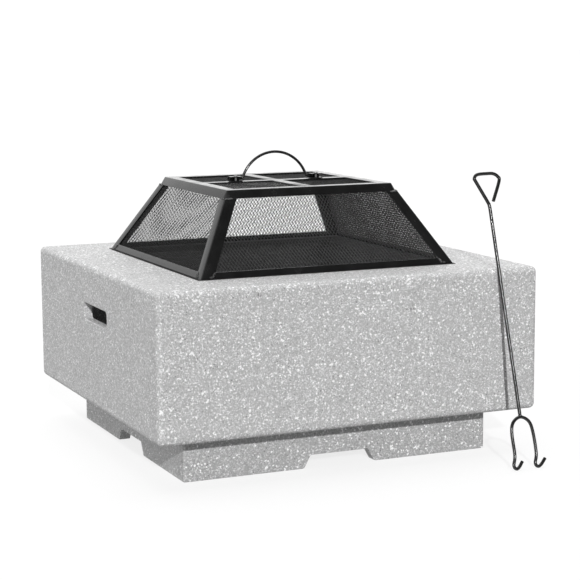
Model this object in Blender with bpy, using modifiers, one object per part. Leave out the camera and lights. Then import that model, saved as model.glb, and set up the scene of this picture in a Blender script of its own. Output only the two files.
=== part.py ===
"""Square fire pit: a cast stone body on a notched plinth, a drop-in steel fire bowl,
a cooking grill, a mesh spark guard with a folding handle, and a poker that leans on the rim.

Metres, +Z up. Each piece is modelled around the pit's own upright axis, with z = 0 on the
ground. The empty fire_pit_frame then moves the whole pit back, so that the origin is below
the middle of its bounding box, poker included. Front is -Y.
"""

import math

import bmesh
import bpy
from mathutils import Matrix, Vector

# Clearances
TOUCH_GAP = 0.0003          # between pieces that rest on or are welded to each other
CUT_PAST = 0.005            # how far a cutter runs past the face that it cuts

# Cast stone body
BODY_WIDTH = 0.700
BODY_DEPTH = 0.670
RIM_HEIGHT = 0.330          # ground to the top of the stone
EDGE_RADIUS = 0.010
BODY_WALL = 0.0155
TOP_SLAB = 0.024
FLOOR_SLAB = 0.020
BOWL_OPENING = 0.446
RECESS_SIZE = 0.484
RECESS_DEPTH = 0.002        # the bowl's flange lies in it, flush with the stone
AIR_OPENING_X = 0.420
AIR_OPENING_Y = 0.390
HAND_SLOT_WIDTH = 0.130
HAND_SLOT_HEIGHT = 0.0294
HAND_SLOT_RADIUS = 0.009
HAND_SLOT_Y = -0.012        # the slots are a little nearer the front
HAND_SLOT_Z = 0.2463

# Plinth
PLINTH_HEIGHT = 0.0785
PLINTH_INSET = 0.0655       # how far the body stands out past the plinth, on each side
PLINTH_WALL = 0.020
PLINTH_EDGE_RADIUS = 0.005
NOTCH_HEIGHT = 0.0227
NOTCH_TOP_WIDTH = 0.108
NOTCH_FOOT_WIDTH = 0.133
NOTCH_RADIUS = 0.006

# Fire bowl, welded from four bent sides and a floor
BOWL_SHEET = 0.002
FLANGE_SIZE = 0.4805
BOWL_MOUTH = 0.430
BOWL_FLOOR = 0.300
BOWL_DEPTH = 0.130
MOUTH_BEND = 0.004          # outer radius of the bend between flange and side
BEND_STEPS = 3

# Cooking grill
GRILL_SPAN = 0.4174         # its rods' ends rest on the bowl's slanted sides
GRILL_BAR_LENGTH = 0.409
GRILL_DROP = 0.010          # bowl's flange to the middle of the rods
GRILL_ROD_RADIUS = 0.002
GRILL_BAR_RADIUS = 0.0025
GRILL_PITCH = 0.015
GRILL_RODS = 27
GRILL_BARS_X = (-0.200, 0.0, 0.200)
GRILL_WELD_DEPTH = 0.001    # how deep each rod sinks into the bars below it
ROD_SIDES = 8

# Spark guard
GUARD_BASE = 0.4754         # outer size where it passes the top of the stone
GUARD_TOP = 0.3128
GUARD_RISE = 0.139          # from the top of the stone to the top of the guard
GUARD_SHEET = 0.0025
ANGLE_WIDTH = 0.020
SIDE_FLANGE = 0.0165
BASE_BAR_WIDTH = 0.0115
MESH_SHEET = 0.001
MESH_LAP = 0.008            # how far a mesh panel runs behind the frame

# Handle on the guard
BAIL_ROD_RADIUS = 0.0025
BAIL_RADIUS = 0.066
BAIL_RISE = 0.046           # pivot axis to the middle of the rod at the top
BAIL_BEND = 0.006
BRACKET_START = 0.0675
BRACKET_LENGTH = 0.023
BRACKET_SHEET = 0.0015
BRACKET_INSIDE = 0.0030     # inner radius round the rod
BRACKET_FRONT = 0.012       # pivot axis to the bracket's front edge
SCREW_RADIUS = 0.002
SCREW_HEAD_RADIUS = 0.0036
SCREW_HEAD_HEIGHT = 0.0022
SCREW_HOLE_RADIUS = 0.0023
SCREW_FORWARD = 0.0075      # pivot axis to the screw

# Poker
POKER_ROD_RADIUS = 0.003
POKER_X = 0.2727
POKER_LEAN = math.radians(16.7)
FORK_TOP = 0.0894           # ground to the fork's crown, along the poker
FORK_HALF = 0.0205
LOOP_FOOT = 0.4578
LOOP_TOP = 0.5114

# Frame
BODY_BOTTOM = PLINTH_HEIGHT + TOUCH_GAP
RECESS_FLOOR = RIM_HEIGHT - RECESS_DEPTH
FLANGE_TOP = RECESS_FLOOR + TOUCH_GAP + BOWL_SHEET
GUARD_FOOT = FLANGE_TOP + TOUCH_GAP
GUARD_HEAD = RIM_HEIGHT + GUARD_RISE
GUARD_SLOPE = (GUARD_BASE - GUARD_TOP) / 2 / GUARD_RISE
GUARD_TILT = math.atan(GUARD_SLOPE)
SHEET_ACROSS = GUARD_SHEET / math.cos(GUARD_TILT)       # guard sheet, measured level
MESH_ACROSS = MESH_SHEET / math.cos(GUARD_TILT)
LEG_LEAN = math.atan(math.sin(GUARD_TILT))
LEG_ACROSS = ANGLE_WIDTH / math.cos(LEG_LEAN)           # leg flange, measured level
PIVOT_Z = GUARD_HEAD + TOUCH_GAP + BRACKET_SHEET + BRACKET_INSIDE
PIVOT_Y = 0.003

MATERIALS = {
    "stone": ((0.56, 0.56, 0.57, 1.0), 0.75, 0.0),
    "black_steel": ((0.022, 0.022, 0.023, 1.0), 0.45, 0.6),
    "mesh_steel": ((0.030, 0.030, 0.031, 1.0), 0.50, 0.6),
    "grill_wire": ((0.10, 0.10, 0.10, 1.0), 0.40, 0.8),
    "screw_steel": ((0.60, 0.60, 0.61, 1.0), 0.30, 1.0),
}


# ---------------------------------------------------------------- scene helpers

def clear_scene():
    for old in list(bpy.data.objects):
        bpy.data.objects.remove(old, do_unlink=True)


def make_collection(name):
    collection = bpy.data.collections.new(name)
    bpy.context.scene.collection.children.link(collection)
    return collection


def make_material(name):
    color, roughness, metallic = MATERIALS[name]
    material = bpy.data.materials.new(name)
    material.use_nodes = True
    shader = material.node_tree.nodes["Principled BSDF"]
    shader.inputs["Base Color"].default_value = color
    shader.inputs["Roughness"].default_value = roughness
    shader.inputs["Metallic"].default_value = metallic
    return material


def finish_object(name, data, collection, material, parent=None):
    obj = bpy.data.objects.new(name, data)
    collection.objects.link(obj)
    if material is not None and not data.materials:
        data.materials.append(material)
    obj.parent = parent
    return obj


def mesh_from(bm, name):
    bmesh.ops.recalc_face_normals(bm, faces=bm.faces)
    mesh = bpy.data.meshes.new(name)
    bm.to_mesh(mesh)
    bm.free()
    return mesh


def make_empty(name, location, parent=None):
    empty = bpy.data.objects.new(name, None)
    parts.objects.link(empty)
    empty.location = location
    empty.parent = parent
    return empty


def make_cutter(name, mesh, location=(0.0, 0.0, 0.0)):
    cutter = bpy.data.objects.new(name, mesh)
    cutters.objects.link(cutter)
    cutter.location = location
    cutter.parent = pit
    cutter.hide_render = True
    cutter.display_type = "WIRE"
    return cutter


def cut(obj, cutter):
    modifier = obj.modifiers.new("cut_" + cutter.name, "BOOLEAN")
    modifier.operation = "DIFFERENCE"
    modifier.solver = "EXACT"
    modifier.object = cutter


def bevel(obj, width, segments):
    modifier = obj.modifiers.new("rounded_edges", "BEVEL")
    modifier.width = width
    modifier.segments = segments
    modifier.limit_method = "ANGLE"


# ---------------------------------------------------------------- shape helpers

def box_mesh(name, size, centre=(0.0, 0.0, 0.0)):
    bm = bmesh.new()
    bmesh.ops.create_cube(bm, size=1.0)
    bmesh.ops.scale(bm, vec=size, verts=bm.verts)
    bmesh.ops.translate(bm, vec=centre, verts=bm.verts)
    return mesh_from(bm, name)


def round_corner(before, corner, after, radius, steps):
    """Points of the arc that rounds one corner of a flat outline."""
    corner = Vector(corner)
    to_before = (Vector(before) - corner).normalized()
    to_after = (Vector(after) - corner).normalized()
    half = to_before.angle(to_after) / 2
    centre = corner + (to_before + to_after).normalized() * radius / math.sin(half)
    reach = radius / math.tan(half)
    start = (corner + to_before * reach - centre).normalized()
    end = (corner + to_after * reach - centre).normalized()
    return [
        centre + start.slerp(end, step / steps) * radius for step in range(steps + 1)
    ]


def rounded_rectangle(width, height, radius, steps):
    """Outline of a rectangle with round corners, centred on the origin."""
    x, y = width / 2, height / 2
    corners = [(x, -y), (x, y), (-x, y), (-x, -y)]
    outline = []
    for index, corner in enumerate(corners):
        before = corners[index - 1]
        after = corners[(index + 1) % 4]
        outline += round_corner(before, corner, after, radius, steps)
    return outline


def prism(name, points, along):
    """Solid made by moving a flat face, given by its 3-D points, along a vector."""
    bm = bmesh.new()
    face = bm.faces.new([bm.verts.new(point) for point in points])
    moved = bmesh.ops.extrude_face_region(bm, geom=[face])["geom"]
    new_verts = [item for item in moved if isinstance(item, bmesh.types.BMVert)]
    bmesh.ops.translate(bm, vec=along, verts=new_verts)
    return mesh_from(bm, name)


def cylinder_mesh(name, radius, length, sides, turn=None):
    bm = bmesh.new()
    bmesh.ops.create_cone(
        bm, cap_ends=True, segments=sides, radius1=radius, radius2=radius, depth=length
    )
    if turn is not None:
        bmesh.ops.transform(bm, matrix=turn, verts=bm.verts)
    return mesh_from(bm, name)


def wire_object(name, points, radius, material, parent):
    """A bent rod: an open polyline with a round bevel and closed ends."""
    curve = bpy.data.curves.new(name, "CURVE")
    curve.dimensions = "3D"
    curve.bevel_depth = radius
    curve.bevel_resolution = 2
    curve.use_fill_caps = True
    spline = curve.splines.new("POLY")
    spline.points.add(len(points) - 1)
    for spline_point, point in zip(spline.points, points):
        spline_point.co = (*point, 1.0)
    return finish_object(name, curve, parts, material, parent)


def smooth_path(points, steps):
    """Points of a smooth curve that passes through the given points."""
    ends = [2 * points[0] - points[1]] + points + [2 * points[-1] - points[-2]]
    path = [points[0]]
    for index in range(1, len(ends) - 2):
        p0, p1, p2, p3 = ends[index - 1:index + 3]
        for step in range(1, steps + 1):
            t = step / steps
            path.append(0.5 * (
                2 * p1
                + (p2 - p0) * t
                + (2 * p0 - 5 * p1 + 4 * p2 - p3) * t * t
                + (3 * p1 - p0 - 3 * p2 + p3) * t * t * t
            ))
    return path


def side_bar(name, section, end_of):
    """Bar along the front: its section is (distance from the axis, height) points,
    and end_of says where its end is for one such point. Both ends are alike."""
    bm = bmesh.new()
    ends = [Vector((-end_of(out, z), -out, z)) for out, z in section]
    face = bm.faces.new([bm.verts.new(point) for point in ends])
    moved = bmesh.ops.extrude_face_region(bm, geom=[face])["geom"]
    for item in moved:
        if isinstance(item, bmesh.types.BMVert):
            item.co.x = -item.co.x
    return mesh_from(bm, name)


def four_sides(kind, mesh, material):
    """Copies of a front piece on all four sides."""
    for side, turn in (("front", 0), ("right", 1), ("back", 2), ("left", 3)):
        piece = finish_object(f"{kind}_{side}", mesh, parts, material, pit)
        piece.rotation_euler.z = turn * math.pi / 2


# ---------------------------------------------------------------- stone

def make_body():
    height = RIM_HEIGHT - BODY_BOTTOM
    mesh = box_mesh(
        "fire_pit_body",
        (BODY_WIDTH, BODY_DEPTH, height),
        (0.0, 0.0, BODY_BOTTOM + height / 2),
    )
    body = finish_object("fire_pit_body", mesh, parts, stone, pit)
    bevel(body, EDGE_RADIUS, 3)

    hollow_bottom = BODY_BOTTOM + FLOOR_SLAB
    hollow_top = RIM_HEIGHT - TOP_SLAB
    hollow = box_mesh(
        "hollow",
        (BODY_WIDTH - 2 * BODY_WALL, BODY_DEPTH - 2 * BODY_WALL, hollow_top - hollow_bottom),
        (0.0, 0.0, (hollow_top + hollow_bottom) / 2),
    )
    cut(body, make_cutter("body_hollow", hollow))

    mouth = box_mesh(
        "mouth",
        (BOWL_OPENING, BOWL_OPENING, TOP_SLAB + 2 * CUT_PAST),
        (0.0, 0.0, RIM_HEIGHT - TOP_SLAB / 2),
    )
    cut(body, make_cutter("bowl_mouth", mouth))

    recess = box_mesh(
        "recess",
        (RECESS_SIZE, RECESS_SIZE, RECESS_DEPTH + CUT_PAST),
        (0.0, 0.0, RECESS_FLOOR + (RECESS_DEPTH + CUT_PAST) / 2),
    )
    cut(body, make_cutter("rim_recess", recess))

    air = box_mesh(
        "air",
        (AIR_OPENING_X, AIR_OPENING_Y, FLOOR_SLAB + 2 * CUT_PAST),
        (0.0, 0.0, BODY_BOTTOM + FLOOR_SLAB / 2),
    )
    cut(body, make_cutter("air_opening", air))

    outline = rounded_rectangle(HAND_SLOT_WIDTH, HAND_SLOT_HEIGHT, HAND_SLOT_RADIUS, 4)
    for side, sign in (("left", -1), ("right", 1)):
        outside = sign * (BODY_WIDTH / 2 + CUT_PAST)
        points = [Vector((outside, HAND_SLOT_Y + point.x, HAND_SLOT_Z + point.y)) for point in outline]
        inward = Vector((-sign * (BODY_WALL + 2 * CUT_PAST), 0.0, 0.0))
        slot = prism("slot_" + side, points, inward)
        cut(body, make_cutter("hand_slot_" + side, slot))


def notch_outline():
    """Outline of a foot notch, wider at the ground, with every corner rounded."""
    foot, top = NOTCH_FOOT_WIDTH / 2, NOTCH_TOP_WIDTH / 2
    beside = Vector((-foot - 2 * NOTCH_RADIUS, 0.0))
    left = [beside, Vector((-foot, 0.0)), Vector((-top, NOTCH_HEIGHT))]
    right = [Vector((-point.x, point.y)) for point in reversed(left)]
    rounded = round_corner(left[0], left[1], left[2], NOTCH_RADIUS, 4)
    rounded += round_corner(left[1], left[2], right[0], NOTCH_RADIUS / 2, 3)
    rounded += round_corner(left[2], right[0], right[1], NOTCH_RADIUS / 2, 3)
    rounded += round_corner(right[0], right[1], right[2], NOTCH_RADIUS, 4)
    below_start = Vector((rounded[0].x, -CUT_PAST))
    below_end = Vector((rounded[-1].x, -CUT_PAST))
    return [below_start] + rounded + [below_end]


def make_plinth():
    width = BODY_WIDTH - 2 * PLINTH_INSET
    depth = BODY_DEPTH - 2 * PLINTH_INSET
    outline = rounded_rectangle(width, depth, PLINTH_EDGE_RADIUS, 3)
    points = [Vector((point.x, point.y, 0.0)) for point in outline]
    mesh = prism("plinth", points, Vector((0.0, 0.0, PLINTH_HEIGHT)))
    plinth = finish_object("plinth", mesh, parts, stone, pit)

    inside = box_mesh(
        "inside",
        (width - 2 * PLINTH_WALL, depth - 2 * PLINTH_WALL, PLINTH_HEIGHT + 2 * CUT_PAST),
        (0.0, 0.0, PLINTH_HEIGHT / 2),
    )
    cut(plinth, make_cutter("plinth_inside", inside))

    outline = notch_outline()
    across_y = [Vector((point.x, -depth / 2 - CUT_PAST, point.y)) for point in outline]
    across_x = [Vector((-width / 2 - CUT_PAST, point.x, point.y)) for point in outline]
    front_back = prism("notches_y", across_y, Vector((0.0, depth + 2 * CUT_PAST, 0.0)))
    left_right = prism("notches_x", across_x, Vector((width + 2 * CUT_PAST, 0.0, 0.0)))
    cut(plinth, make_cutter("notches_front_back", front_back))
    cut(plinth, make_cutter("notches_left_right", left_right))


# ---------------------------------------------------------------- bowl and grill

def bent_sheet_section():
    """Section of a bowl side: a level flange, a bend and a slanted wall, as (out, z) points."""
    lean = math.atan2((BOWL_MOUTH - BOWL_FLOOR) / 2, BOWL_DEPTH)
    wall_turn = math.pi / 2 - lean
    bend_out = BOWL_MOUTH / 2 + MOUTH_BEND * math.tan(wall_turn / 2)
    bend_z = FLANGE_TOP - MOUTH_BEND
    inside = MOUTH_BEND - BOWL_SHEET
    upper = []
    lower = []
    for step in range(BEND_STEPS + 1):
        turn = wall_turn * step / BEND_STEPS
        upper.append((bend_out - MOUTH_BEND * math.sin(turn), bend_z + MOUTH_BEND * math.cos(turn)))
        lower.append((bend_out - inside * math.sin(turn), bend_z + inside * math.cos(turn)))
    floor_z = FLANGE_TOP - BOWL_DEPTH
    foot = upper[-1][0] - (upper[-1][1] - floor_z) * math.tan(lean)
    sheet_across = BOWL_SHEET / math.cos(lean)
    edge = FLANGE_SIZE / 2
    inner_face = [(edge, FLANGE_TOP)] + upper + [(foot, floor_z)]
    outer_face = [(foot + sheet_across, floor_z)] + lower[::-1] + [(edge, FLANGE_TOP - BOWL_SHEET)]
    return inner_face + outer_face, foot


def make_bowl():
    section, foot = bent_sheet_section()
    side = side_bar("fire_bowl_side", section, lambda out, z: out - TOUCH_GAP)
    four_sides("fire_bowl_side", side, black_steel)

    size = 2 * (foot - TOUCH_GAP)
    floor_z = FLANGE_TOP - BOWL_DEPTH + BOWL_SHEET / 2
    floor = box_mesh("fire_bowl_floor", (size, size, BOWL_SHEET), (0.0, 0.0, floor_z))
    finish_object("fire_bowl_floor", floor, parts, black_steel, pit)


def make_grill():
    rod_z = FLANGE_TOP - GRILL_DROP
    bar_z = rod_z - GRILL_ROD_RADIUS - GRILL_BAR_RADIUS + GRILL_WELD_DEPTH
    along_x = Matrix.Rotation(math.pi / 2, 4, "Y")
    along_y = Matrix.Rotation(math.pi / 2, 4, "X")
    bar = cylinder_mesh("grill_bar", GRILL_BAR_RADIUS, GRILL_BAR_LENGTH, ROD_SIDES, along_y)
    rod = cylinder_mesh("grill_rod", GRILL_ROD_RADIUS, GRILL_SPAN, ROD_SIDES, along_x)

    rods = bmesh.new()
    first_y = -GRILL_PITCH * (GRILL_RODS - 1) / 2
    for index in range(GRILL_RODS):
        single = bmesh.new()
        single.from_mesh(rod)
        bmesh.ops.translate(
            single, vec=(0.0, first_y + index * GRILL_PITCH, rod_z), verts=single.verts
        )
        placed = mesh_from(single, "placed_rod")
        rods.from_mesh(placed)
        bpy.data.meshes.remove(placed)
    rods_mesh = mesh_from(rods, "cooking_grill")
    grill = finish_object("cooking_grill", rods_mesh, parts, grill_wire, pit)

    for index, bar_x in enumerate(GRILL_BARS_X):
        joined = make_cutter(f"grill_bar_{index + 1}", bar, (bar_x, 0.0, bar_z))
        union = grill.modifiers.new("weld_" + joined.name, "BOOLEAN")
        union.operation = "UNION"
        union.solver = "EXACT"
        union.object = joined
    bpy.data.meshes.remove(rod)


# ---------------------------------------------------------------- spark guard

def guard_half(z):
    """Half the guard's outer size at a height."""
    return GUARD_TOP / 2 + (GUARD_HEAD - z) * GUARD_SLOPE


def slanted_section(bottom, top, inset, across):
    """Section of a sheet that lies parallel to the guard's side, inset from it."""
    return [
        (guard_half(bottom) - inset, bottom),
        (guard_half(top) - inset, top),
        (guard_half(top) - inset - across, top),
        (guard_half(bottom) - inset - across, bottom),
    ]


def make_guard_legs():
    rail_foot = GUARD_HEAD - SIDE_FLANGE * math.cos(GUARD_TILT)
    foot_half = guard_half(GUARD_FOOT)
    outline = [
        (0.0, 0.0), (LEG_ACROSS, 0.0), (LEG_ACROSS, SHEET_ACROSS),
        (SHEET_ACROSS, SHEET_ACROSS), (SHEET_ACROSS, LEG_ACROSS), (0.0, LEG_ACROSS),
    ]
    points = [Vector((x - foot_half, y - foot_half, GUARD_FOOT)) for x, y in outline]
    rise = rail_foot - TOUCH_GAP - GUARD_FOOT
    mesh = prism("guard_leg", points, Vector((rise * GUARD_SLOPE, rise * GUARD_SLOPE, rise)))
    corners = (("front_left", 0), ("front_right", 1), ("back_right", 2), ("back_left", 3))
    for corner, turn in corners:
        leg = finish_object(f"guard_leg_{corner}", mesh, parts, black_steel, pit)
        leg.rotation_euler.z = turn * math.pi / 2


def make_guard_rails():
    head_half = GUARD_TOP / 2
    drop = SIDE_FLANGE * math.cos(GUARD_TILT)
    under = GUARD_HEAD - GUARD_SHEET
    inner = head_half - ANGLE_WIDTH
    section = [
        (head_half, GUARD_HEAD),
        (guard_half(GUARD_HEAD - drop), GUARD_HEAD - drop),
        (guard_half(GUARD_HEAD - drop) - SHEET_ACROSS, GUARD_HEAD - drop),
        (guard_half(under) - SHEET_ACROSS, under),
        (inner, under),
        (inner, GUARD_HEAD),
    ]
    rail = side_bar("guard_top_rail", section, lambda out, z: out - TOUCH_GAP)
    four_sides("guard_top_rail", rail, black_steel)

    bar_top = GUARD_FOOT + BASE_BAR_WIDTH * math.cos(GUARD_TILT)
    section = slanted_section(GUARD_FOOT, bar_top, 0.0, SHEET_ACROSS)
    base_bar = side_bar(
        "guard_base_bar", section, lambda out, z: guard_half(z) - LEG_ACROSS - TOUCH_GAP
    )
    four_sides("guard_base_bar", base_bar, black_steel)


def make_guard_mesh():
    bottom = GUARD_FOOT + BASE_BAR_WIDTH * math.cos(GUARD_TILT) - MESH_LAP
    top = GUARD_HEAD - MESH_LAP
    behind = SHEET_ACROSS + 2 * TOUCH_GAP
    section = slanted_section(bottom, top, behind, MESH_ACROSS)
    panel = side_bar(
        "guard_mesh", section, lambda out, z: guard_half(z) - LEG_ACROSS + MESH_LAP
    )
    four_sides("guard_mesh", panel, mesh_steel)

    size = GUARD_TOP - 2 * ANGLE_WIDTH + 2 * MESH_LAP
    panel_z = GUARD_HEAD - GUARD_SHEET - TOUCH_GAP - MESH_SHEET / 2
    panel = box_mesh("guard_mesh_top", (size, size, MESH_SHEET), (0.0, 0.0, panel_z))
    finish_object("guard_mesh_top", panel, parts, mesh_steel, pit)


def screw_centres():
    middle = BRACKET_START + BRACKET_LENGTH / 2
    return {"left": -middle, "right": middle}


def make_cross_bars(screw_holes):
    inner = GUARD_TOP / 2 - ANGLE_WIDTH - TOUCH_GAP
    bar_z = GUARD_HEAD - GUARD_SHEET / 2
    mesh = box_mesh("guard_cross_bar", (2 * inner, ANGLE_WIDTH, GUARD_SHEET), (0.0, 0.0, bar_z))
    bar = finish_object("guard_cross_bar", mesh, parts, black_steel, pit)
    for hole in screw_holes:
        cut(bar, hole)
    start = ANGLE_WIDTH / 2 + TOUCH_GAP
    length = inner - start
    for side, sign in (("front", -1), ("back", 1)):
        centre = (0.0, sign * (start + length / 2), bar_z)
        mesh = box_mesh("short_bar_" + side, (ANGLE_WIDTH, length, GUARD_SHEET), centre)
        finish_object(f"guard_cross_bar_{side}", mesh, parts, black_steel, pit)


# ---------------------------------------------------------------- handle

def bracket_outline():
    """Section of the folded clip, in (y, z) from the pivot: two plates joined by a bend."""
    inner, outer = BRACKET_INSIDE, BRACKET_INSIDE + BRACKET_SHEET
    steps = 8
    turns = [math.pi * step / steps - math.pi / 2 for step in range(steps + 1)]
    outside = [(outer * math.cos(turn), outer * math.sin(turn)) for turn in turns]
    inside = [(inner * math.cos(turn), inner * math.sin(turn)) for turn in reversed(turns)]
    front = -BRACKET_FRONT
    return [(front, -outer)] + outside + [(front, outer), (front, inner)] + inside + [(front, -inner)]


def make_screw(side, x):
    """Pan-head screw as a turned profile that runs down its outer side."""
    head_foot = PIVOT_Z + BRACKET_INSIDE + BRACKET_SHEET + TOUCH_GAP
    shank_foot = GUARD_HEAD - GUARD_SHEET
    edge = SCREW_HEAD_HEIGHT / 2
    profile = [
        (0.0, SCREW_HEAD_HEIGHT),
        (SCREW_HEAD_RADIUS * 0.7, SCREW_HEAD_HEIGHT * 0.85),
        (SCREW_HEAD_RADIUS, edge),
        (SCREW_HEAD_RADIUS, 0.0),
        (SCREW_RADIUS, 0.0),
        (SCREW_RADIUS, shank_foot - head_foot),
        (0.0, shank_foot - head_foot),
    ]
    bm = bmesh.new()
    verts = [bm.verts.new((radius, 0.0, z)) for radius, z in profile]
    for first, second in zip(verts, verts[1:]):
        bm.edges.new((first, second))
    mesh = bpy.data.meshes.new("bracket_screw")
    bm.to_mesh(mesh)
    bm.free()
    screw = finish_object(f"bracket_screw_{side}", mesh, parts, screw_steel, pit)
    screw.location = (x, PIVOT_Y - SCREW_FORWARD, head_foot)
    turned = screw.modifiers.new("turned", "SCREW")
    turned.angle = 2 * math.pi
    turned.steps = 16
    turned.render_steps = 16
    turned.use_merge_vertices = True
    turned.merge_threshold = 0.00005
    turned.use_smooth_shade = True


def make_brackets():
    """Brackets, their screws, and the screw holes, which the guard's bar shares."""
    outline = bracket_outline()
    holes = []
    for side, x in screw_centres().items():
        start = x - BRACKET_LENGTH / 2
        points = [Vector((start, PIVOT_Y + y, PIVOT_Z + z)) for y, z in outline]
        mesh = prism("handle_bracket", points, Vector((BRACKET_LENGTH, 0.0, 0.0)))
        bracket = finish_object(f"handle_bracket_{side}", mesh, parts, black_steel, pit)
        hole_mesh = cylinder_mesh("screw_hole", SCREW_HOLE_RADIUS, 0.03, 16)
        hole = make_cutter(
            f"screw_hole_{side}", hole_mesh, (x, PIVOT_Y - SCREW_FORWARD, PIVOT_Z)
        )
        cut(bracket, hole)
        make_screw(side, x)
        holes.append(hole)
    return holes


def bail_points():
    """Middle of the handle's rod, from the pivot: a flat arch whose feet turn outward."""
    arch_z = BAIL_RISE - BAIL_RADIUS
    bend_z = BAIL_BEND
    bend_x = math.sqrt((BAIL_RADIUS + BAIL_BEND) ** 2 - (bend_z - arch_z) ** 2)
    foot_turn = math.atan2(bend_x, bend_z - arch_z)
    arch_steps, bend_steps = 24, 6
    right = []
    for step in range(arch_steps // 2 + 1):
        turn = foot_turn * step / (arch_steps // 2)
        right.append(Vector((
            BAIL_RADIUS * math.sin(turn), 0.0, arch_z + BAIL_RADIUS * math.cos(turn)
        )))
    for step in range(1, bend_steps + 1):
        turn = foot_turn * (1 - step / bend_steps)
        right.append(Vector((
            bend_x - BAIL_BEND * math.sin(turn), 0.0, bend_z - BAIL_BEND * math.cos(turn)
        )))
    right.append(Vector((BRACKET_START + BRACKET_LENGTH - 0.002, 0.0, 0.0)))
    left = [Vector((-point.x, 0.0, point.z)) for point in reversed(right[1:])]
    return left + right


def make_handle():
    pivot = make_empty("handle_pivot", (0.0, PIVOT_Y, PIVOT_Z), pit)
    wire_object("bail_handle", bail_points(), BAIL_ROD_RADIUS, black_steel, pivot)


# ---------------------------------------------------------------- poker

def poker_foot_y():
    """Where the leaning poker's line meets the ground: it touches the body's rounded edge."""
    reach = EDGE_RADIUS + TOUCH_GAP + POKER_ROD_RADIUS
    touch_y = -(BODY_DEPTH / 2 - EDGE_RADIUS) - reach * math.cos(POKER_LEAN)
    touch_z = RIM_HEIGHT - EDGE_RADIUS + reach * math.sin(POKER_LEAN)
    return touch_y - touch_z * math.tan(POKER_LEAN)


def fork_points():
    """Middle of the fork's rod, flat in its own plane: x across, z along the poker."""
    foot = POKER_ROD_RADIUS * 1.12
    left = [
        Vector((-FORK_HALF + 0.0130, 0.0, foot + 0.0115)),
        Vector((-FORK_HALF + 0.0055, 0.0, foot + 0.0025)),
        Vector((-FORK_HALF - 0.0005, 0.0, foot)),
        Vector((-FORK_HALF - 0.0045, 0.0, foot + 0.0060)),
        Vector((-FORK_HALF, 0.0, foot + 0.0230)),
        Vector((-FORK_HALF, 0.0, FORK_TOP - 0.0260)),
        Vector((-FORK_HALF + 0.0055, 0.0, FORK_TOP - 0.0080)),
    ]
    right = [
        Vector((FORK_HALF - 0.0055, 0.0, FORK_TOP - 0.0080)),
        Vector((FORK_HALF, 0.0, FORK_TOP - 0.0260)),
        Vector((FORK_HALF + 0.0010, 0.0, foot + 0.0230)),
        Vector((FORK_HALF - 0.0035, 0.0, foot + 0.0060)),
        Vector((FORK_HALF + 0.0010, 0.0, foot)),
        Vector((FORK_HALF + 0.0080, 0.0, foot + 0.0030)),
        Vector((FORK_HALF + 0.0170, 0.0, foot + 0.0125)),
    ]
    crown = Vector((0.0, 0.0, FORK_TOP))
    return smooth_path(left + [crown] + right, 4)


def rod_points():
    """Middle of the shaft's rod, which ends in a three-cornered loop for the hand."""
    shaft_foot = FORK_TOP + 2 * POKER_ROD_RADIUS + TOUCH_GAP
    shaft = [Vector((0.0, 0.0, shaft_foot)), Vector((-0.0024, 0.0, LOOP_FOOT - 0.0100))]
    bend = [
        Vector((-0.0030, 0.0, LOOP_FOOT - 0.0020)),
        Vector((-0.0055, 0.0, LOOP_FOOT + 0.0050)),
        Vector((-0.0225, 0.0, LOOP_TOP - 0.0140)),
        Vector((-0.0250, 0.0, LOOP_TOP - 0.0070)),
        Vector((-0.0185, 0.0, LOOP_TOP - 0.0008)),
        Vector((0.0000, 0.0, LOOP_TOP + 0.0004)),
        Vector((0.0130, 0.0, LOOP_TOP - 0.0002)),
        Vector((0.0215, 0.0, LOOP_TOP - 0.0055)),
        Vector((0.0228, 0.0, LOOP_TOP - 0.0140)),
        Vector((0.0060, 0.0, LOOP_FOOT + 0.0050)),
    ]
    return shaft[:1] + smooth_path([shaft[1]] + bend, 4)


def make_poker():
    foot = make_empty("poker_foot", (POKER_X, poker_foot_y(), 0.0), pit)
    foot.rotation_euler.x = -POKER_LEAN
    wire_object("poker_rod", rod_points(), POKER_ROD_RADIUS, black_steel, foot)
    wire_object("poker_fork", fork_points(), POKER_ROD_RADIUS, black_steel, foot)


def smooth_round_pieces():
    for obj in parts.objects:
        if obj.type == "MESH":
            obj.data.shade_smooth()
            obj.data.set_sharp_from_angle(angle=math.radians(30))


clear_scene()
parts = make_collection("fire_pit_with_grate")
cutters = make_collection("cutters")
stone = make_material("stone")
black_steel = make_material("black_steel")
mesh_steel = make_material("mesh_steel")
grill_wire = make_material("grill_wire")
screw_steel = make_material("screw_steel")

front_reach = -poker_foot_y() + POKER_ROD_RADIUS
pit = make_empty("fire_pit_frame", (0.0, (front_reach - BODY_DEPTH / 2) / 2, 0.0))

make_body()
make_plinth()
make_bowl()
make_grill()
make_guard_legs()
make_guard_rails()
make_guard_mesh()
make_cross_bars(make_brackets())
make_handle()
make_poker()
smooth_round_pieces()
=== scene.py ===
import math

import bmesh
import bpy
from mathutils import Matrix, Vector, noise


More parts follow.
